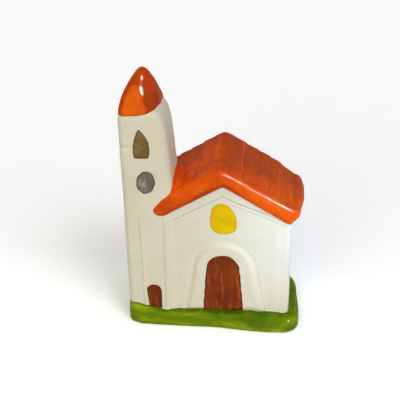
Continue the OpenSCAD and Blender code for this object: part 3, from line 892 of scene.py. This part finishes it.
def glaze(name, deep, main, pale, gloss=0.3, strokes=(60, 60, 260), streak=0.5, coat=0.3, pool=0.6,
          ridges=0.0001, back_shade_colour=None):
    """Brushed glaze: deep where it pools and pale where it is thin.

    Strokes are waves for each metre along X, Y and Z. Streak and pool say how strongly the pale and the
    deep colour show, and ridges is the height of the brush marks in metres. The last argument is a painted
    shade colour that the glaze takes towards the back, where it has one.
    """
    finish = Finish(name, IOR=1.02, Coat_IOR=1.5, Coat_Roughness=0.03, Coat_Weight=coat)
    brushed = finish.noise(1.0, 4, 0.6, finish.stretched(strokes), 0.35)
    pools = finish.noise(75, 4, 0.62, twist=0.6)
    colour = finish.mix((*main, 1), (*pale, 1), brushed.smooth(0.46, 0.74) * streak)
    colour = finish.mix(colour, (*deep, 1), pools.smooth(0.46, 0.74) * pool)
    if back_shade_colour:
        # Painted shade: the roof's glaze darkens towards the back
        colour = finish.mix(colour, (*back_shade_colour, 1), roof_back_shade(finish, brushed, pools))
    depth = finish.start.node("ShaderNodeAttribute", {"attribute_name": "glaze_depth_and_shade"}, output="Fac")
    depth = depth + (brushed - 0.5) * 0.5
    # Dark where the glaze has pooled and where painted shade lies on the spire and the left verge; pale
    # where a crown shows through and where painted light lies on the spire's front face
    colour = finish.mix(colour, (*deep, 1), depth.smooth(0.05, 0.95) * 0.85)
    colour = finish.mix(colour, (*pale, 1), (0 - depth).smooth(0.05, 0.9) * 0.7)
    finish.feed("Base Color", colour)
    finish.feed("Roughness", gloss + pools * 0.1)
    finish.bump((brushed, ridges), (pools, 0.00015), (finish.noise(420, 2, 0.5), 0.00002))
    return finish.material


MATERIALS = {
    "white_slip": white_ware(),
    "orange_glaze": glaze("orange_glaze", (0.40, 0.035, 0.001), (0.80, 0.092, 0.001), (0.95, 0.20, 0.001),
                          strokes=(120, 60, 120), coat=0.3),
    # The tile glaze darkens towards the back of the roof in a painted shade colour
    "tile_glaze": glaze("tile_glaze", (0.40, 0.042, 0.002), (0.80, 0.084, 0.001), (0.94, 0.19, 0.002),
                        strokes=(300, 80, 300), streak=0.7, coat=0.25, back_shade_colour=(0.46, 0.065, 0.009)),
    "green_glaze": glaze("green_glaze", (0.055, 0.125, 0.001), (0.14, 0.24, 0.001), (0.40, 0.50, 0.002),
                         strokes=(60, 60, 330), streak=0.8, pool=0.8, coat=0.25),
    "brown_glaze": glaze("brown_glaze", (0.09, 0.014, 0.003), (0.23, 0.034, 0.003), (0.62, 0.14, 0.02),
                         gloss=0.35, strokes=(480, 60, 90), streak=0.85, ridges=0.0002),
    "yellow_glaze": glaze("yellow_glaze", (0.62, 0.38, 0.001), (0.80, 0.51, 0.001), (0.90, 0.70, 0.012),
                          gloss=0.4, strokes=(260, 60, 160), streak=0.8, coat=0.15),
    "olive_glaze": glaze("olive_glaze", (0.15, 0.09, 0.03), (0.23, 0.14, 0.045), (0.42, 0.31, 0.15),
                         gloss=0.4, strokes=(160, 60, 220), streak=0.8, coat=0.1),
    "grey_glaze": glaze("grey_glaze", (0.10, 0.09, 0.075), (0.17, 0.155, 0.13), (0.55, 0.53, 0.49),
                        gloss=0.4, strokes=(160, 60, 160), streak=0.9, coat=0.1),
}


# Pieces: the name of each, its glaze edge, its finish and the nodes that it stands for

PIECES = [
    ("main_door_glaze", "door", "brown_glaze", ["main_door"]),
    ("tower_door_glaze", "side_door", "brown_glaze", ["tower_door"]),
    ("gable_window_glaze", "gable_window", "yellow_glaze", ["gable_window"]),
    ("belfry_window_glaze", "belfry", "olive_glaze", ["belfry_window"]),
    ("clock_glaze", "clock", "grey_glaze", ["clock_face"]),
    ("spire_glaze", "spire", "orange_glaze", ["tower_spire"]),
    ("verge_glaze", "verge", "orange_glaze", ["verge_right", "verge_left"]),
    ("roof_glaze", "roof", "tile_glaze", ["roof_right_slope", "roof_left_slope", "roof_ridge"]),
    ("grass_glaze", "grass", "green_glaze",
     ["grass_front", "grass_back", "grass_right", "grass_left", "grass_rear_corner"]),
]
TOWER_NODES = ["tower_front_wall", "tower_left_wall", "tower_back_wall", "tower_right_wall",
               "tower_shoulder"]
NAVE_NODES = ["nave_front_wall", "nave_right_wall", "nave_back_wall", "nave_left_wall",
              "cornice_right", "cornice_left", "door_arch"]
MARGIN = 1.5
TOWER_SEAM = 0.5


def finished(piece, finish, nodes):
    """Gives a piece its material and its body, and hides the nodes that it stands for."""
    piece.data.materials.append(MATERIALS[finish])
    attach(piece, "root")
    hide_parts(*nodes)


def build_church():
    """Finds the skin, leaves out where the frame's floor shows, and cuts the rest into the pieces."""
    low = np.array([-BASE_HALF[0] - MARGIN, -BASE_HALF[1] - MARGIN, -MARGIN])
    high = np.array([BASE_HALF[0] + MARGIN, BASE_HALF[1] + MARGIN, SPIRE_HIGH[2] + MARGIN])
    points, squares = skin(casting_field, low, high, CELL)
    rest = np.concatenate([squares[:, [0, 1, 2]], squares[:, [0, 2, 3]]])
    points, _, rest = split(points, rest, off_zero(floor_edge(*points.T)))
    parts = []
    for name, edge, finish, nodes in PIECES:
        points, inner, rest = split(points, rest, off_zero(sample(GLAZED[edge], points)))
        parts.append((name, inner, finish, nodes))
    points, tower, nave = split(points, rest, off_zero(tower_field(*points.T) - TOWER_SEAM))
    parts.append(("tower_walls_white", tower, "white_slip", TOWER_NODES))
    parts.append(("nave_walls_white", nave, "white_slip", NAVE_NODES))
    slope = slope_of(casting_field, points)
    normals = slope / np.maximum(np.linalg.norm(slope, axis=1), 1e-6)[:, None]
    depths = glaze_depth_and_shade(*points.T)
    for name, faces, finish, nodes in parts:
        finished(shell(name, points, faces, normals, depths), finish, nodes)


build_church()

# The floor of the frame shows as it is, in the same white

floor_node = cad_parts["base_floor"]
for place in floor_node.material_slots:
    place.material = MATERIALS["white_slip"]


# Stage, lights and camera

TABLE_HALF = 3.0
TABLE_NEAR = (1.62, 1.66, 1.76, 1)
TABLE_FAR = (1.48, 1.51, 1.61, 1)
WORLD_COLOUR = (0.98, 0.99, 1.0, 1)
WORLD_LEVEL = 0.42
WORLD_TOP_FALL = 0.2
BACKGROUND_LEVEL = 0.96
WARM = (1.0, 0.91, 0.66)
PLAIN = (1, 1, 1)
COOL = (0.45, 0.66, 1.0)
CAMERA_PLACE = (0.0240, -0.2408, 0.1783)
CAMERA_YAW = math.radians(-6.99)
CAMERA_PITCH = math.radians(28.43)
CAMERA_ROLL = math.radians(-1.58)
CAMERA_LENS = 66.2


def build_table():
    """A plain white table top. The camera sees it lifted, so that it shows white and keeps its shadow."""
    mesh = bpy.data.meshes.new("table")
    half = TABLE_HALF
    ring = [(-half, -half, 0), (half, -half, 0), (half, half, 0), (-half, half, 0)]
    mesh.from_pydata(ring, [], [(0, 1, 2, 3)])
    table = bpy.data.objects.new("table", mesh)
    bpy.context.scene.collection.objects.link(table)
    finish = Finish("table_white", Roughness=0.9, Specular_IOR_Level=0.0)
    seen = finish.start.node("ShaderNodeLightPath", output="Is Camera Ray")
    lifted = finish.mix(TABLE_NEAR, TABLE_FAR, finish.along("Y").smooth(-0.04, 0.12))
    finish.feed("Base Color", finish.mix((0.8, 0.8, 0.8, 1), lifted, seen))
    mesh.materials.append(finish.material)


def soft_light(name, azimuth, elevation, strength, spread, colour=PLAIN, mirrored=False):
    """A far, soft lamp. Azimuth is from the front to the right, and spread is its width, in degrees."""
    lamp = bpy.data.lights.new(name, "SUN")
    lamp.energy = strength * math.pi
    lamp.angle = math.radians(spread)
    lamp.color = colour
    light = bpy.data.objects.new(name, lamp)
    turn, rise = math.radians(azimuth), math.radians(elevation)
    towards = Vector((math.sin(turn) * math.cos(rise), -math.cos(turn) * math.cos(rise), math.sin(rise)))
    light.rotation_euler = towards.to_track_quat("Z", "Y").to_euler()
    light.visible_glossy = mirrored
    light.visible_diffuse = not mirrored
    bpy.context.scene.collection.objects.link(light)


def near_light(name, place, target, size, spread, power, colour):
    """A small lamp near the church that lights one side of it and isn't mirrored in the glaze."""
    lamp = bpy.data.lights.new(name, "AREA")
    lamp.size = size
    lamp.spread = math.radians(spread)
    lamp.energy = power
    lamp.color = colour
    light = bpy.data.objects.new(name, lamp)
    light.location = place
    light.rotation_euler = (Vector(target) - Vector(place)).to_track_quat("-Z", "Y").to_euler()
    light.visible_camera = False
    light.visible_glossy = False
    bpy.context.scene.collection.objects.link(light)


def build_world():
    """Light from all round, less from above. The camera and glass see it as pale background, and gloss sees
    it a little brighter.
    """
    world = bpy.data.worlds.new("studio")
    bpy.context.scene.world = world
    world.use_nodes = True
    start = Value(world.node_tree, None)
    place = start.node("ShaderNodeTexCoord", output="Generated")
    up = start.node("ShaderNodeSeparateXYZ", output="Z", Vector=place)
    even = WORLD_LEVEL - up.smooth(0.0, 0.9) * WORLD_TOP_FALL
    camera = start.node("ShaderNodeLightPath", output="Is Camera Ray")
    glossy = start.node("ShaderNodeLightPath", output="Is Glossy Ray")
    through = start.node("ShaderNodeLightPath", output="Is Transmission Ray")
    shown = camera + through
    strength = even * (1 - shown) + shown * BACKGROUND_LEVEL + glossy * 0.04
    background = world.node_tree.nodes["Background"]
    background.inputs["Color"].default_value = WORLD_COLOUR
    world.node_tree.links.new(strength.socket, background.inputs["Strength"])


def build_camera():
    """The camera of the photo, fitted to the corners of the church."""
    ahead = Vector((math.sin(CAMERA_YAW) * math.cos(CAMERA_PITCH),
                    math.cos(CAMERA_YAW) * math.cos(CAMERA_PITCH), -math.sin(CAMERA_PITCH)))
    level = Vector((math.cos(CAMERA_YAW), -math.sin(CAMERA_YAW), 0))
    upright = level.cross(ahead)
    right = level * math.cos(CAMERA_ROLL) + upright * math.sin(CAMERA_ROLL)
    up = upright * math.cos(CAMERA_ROLL) - level * math.sin(CAMERA_ROLL)
    turn = Matrix((right, up, -ahead)).transposed().to_4x4()
    lens = bpy.data.cameras.new("camera")
    lens.lens = CAMERA_LENS
    lens.sensor_width = 36
    lens.clip_start = 0.01
    camera = bpy.data.objects.new("camera", lens)
    camera.matrix_world = Matrix.Translation(CAMERA_PLACE) @ turn
    bpy.context.scene.collection.objects.link(camera)
    bpy.context.scene.camera = camera


build_table()
build_world()
soft_light("front_light", -15, 33, 0.33, 60, WARM)
soft_light("window_light", 43, 42, 0.29, 30)
soft_light("glint", 51, 38, 2.2, 7, mirrored=True)
near_light("side_light", (0.082, -0.092, 0.064), (0.031, -0.014, 0.042),
           size=0.03, spread=40, power=0.0054, colour=COOL)
build_camera()
bpy.context.scene.view_settings.view_transform = "Standard"
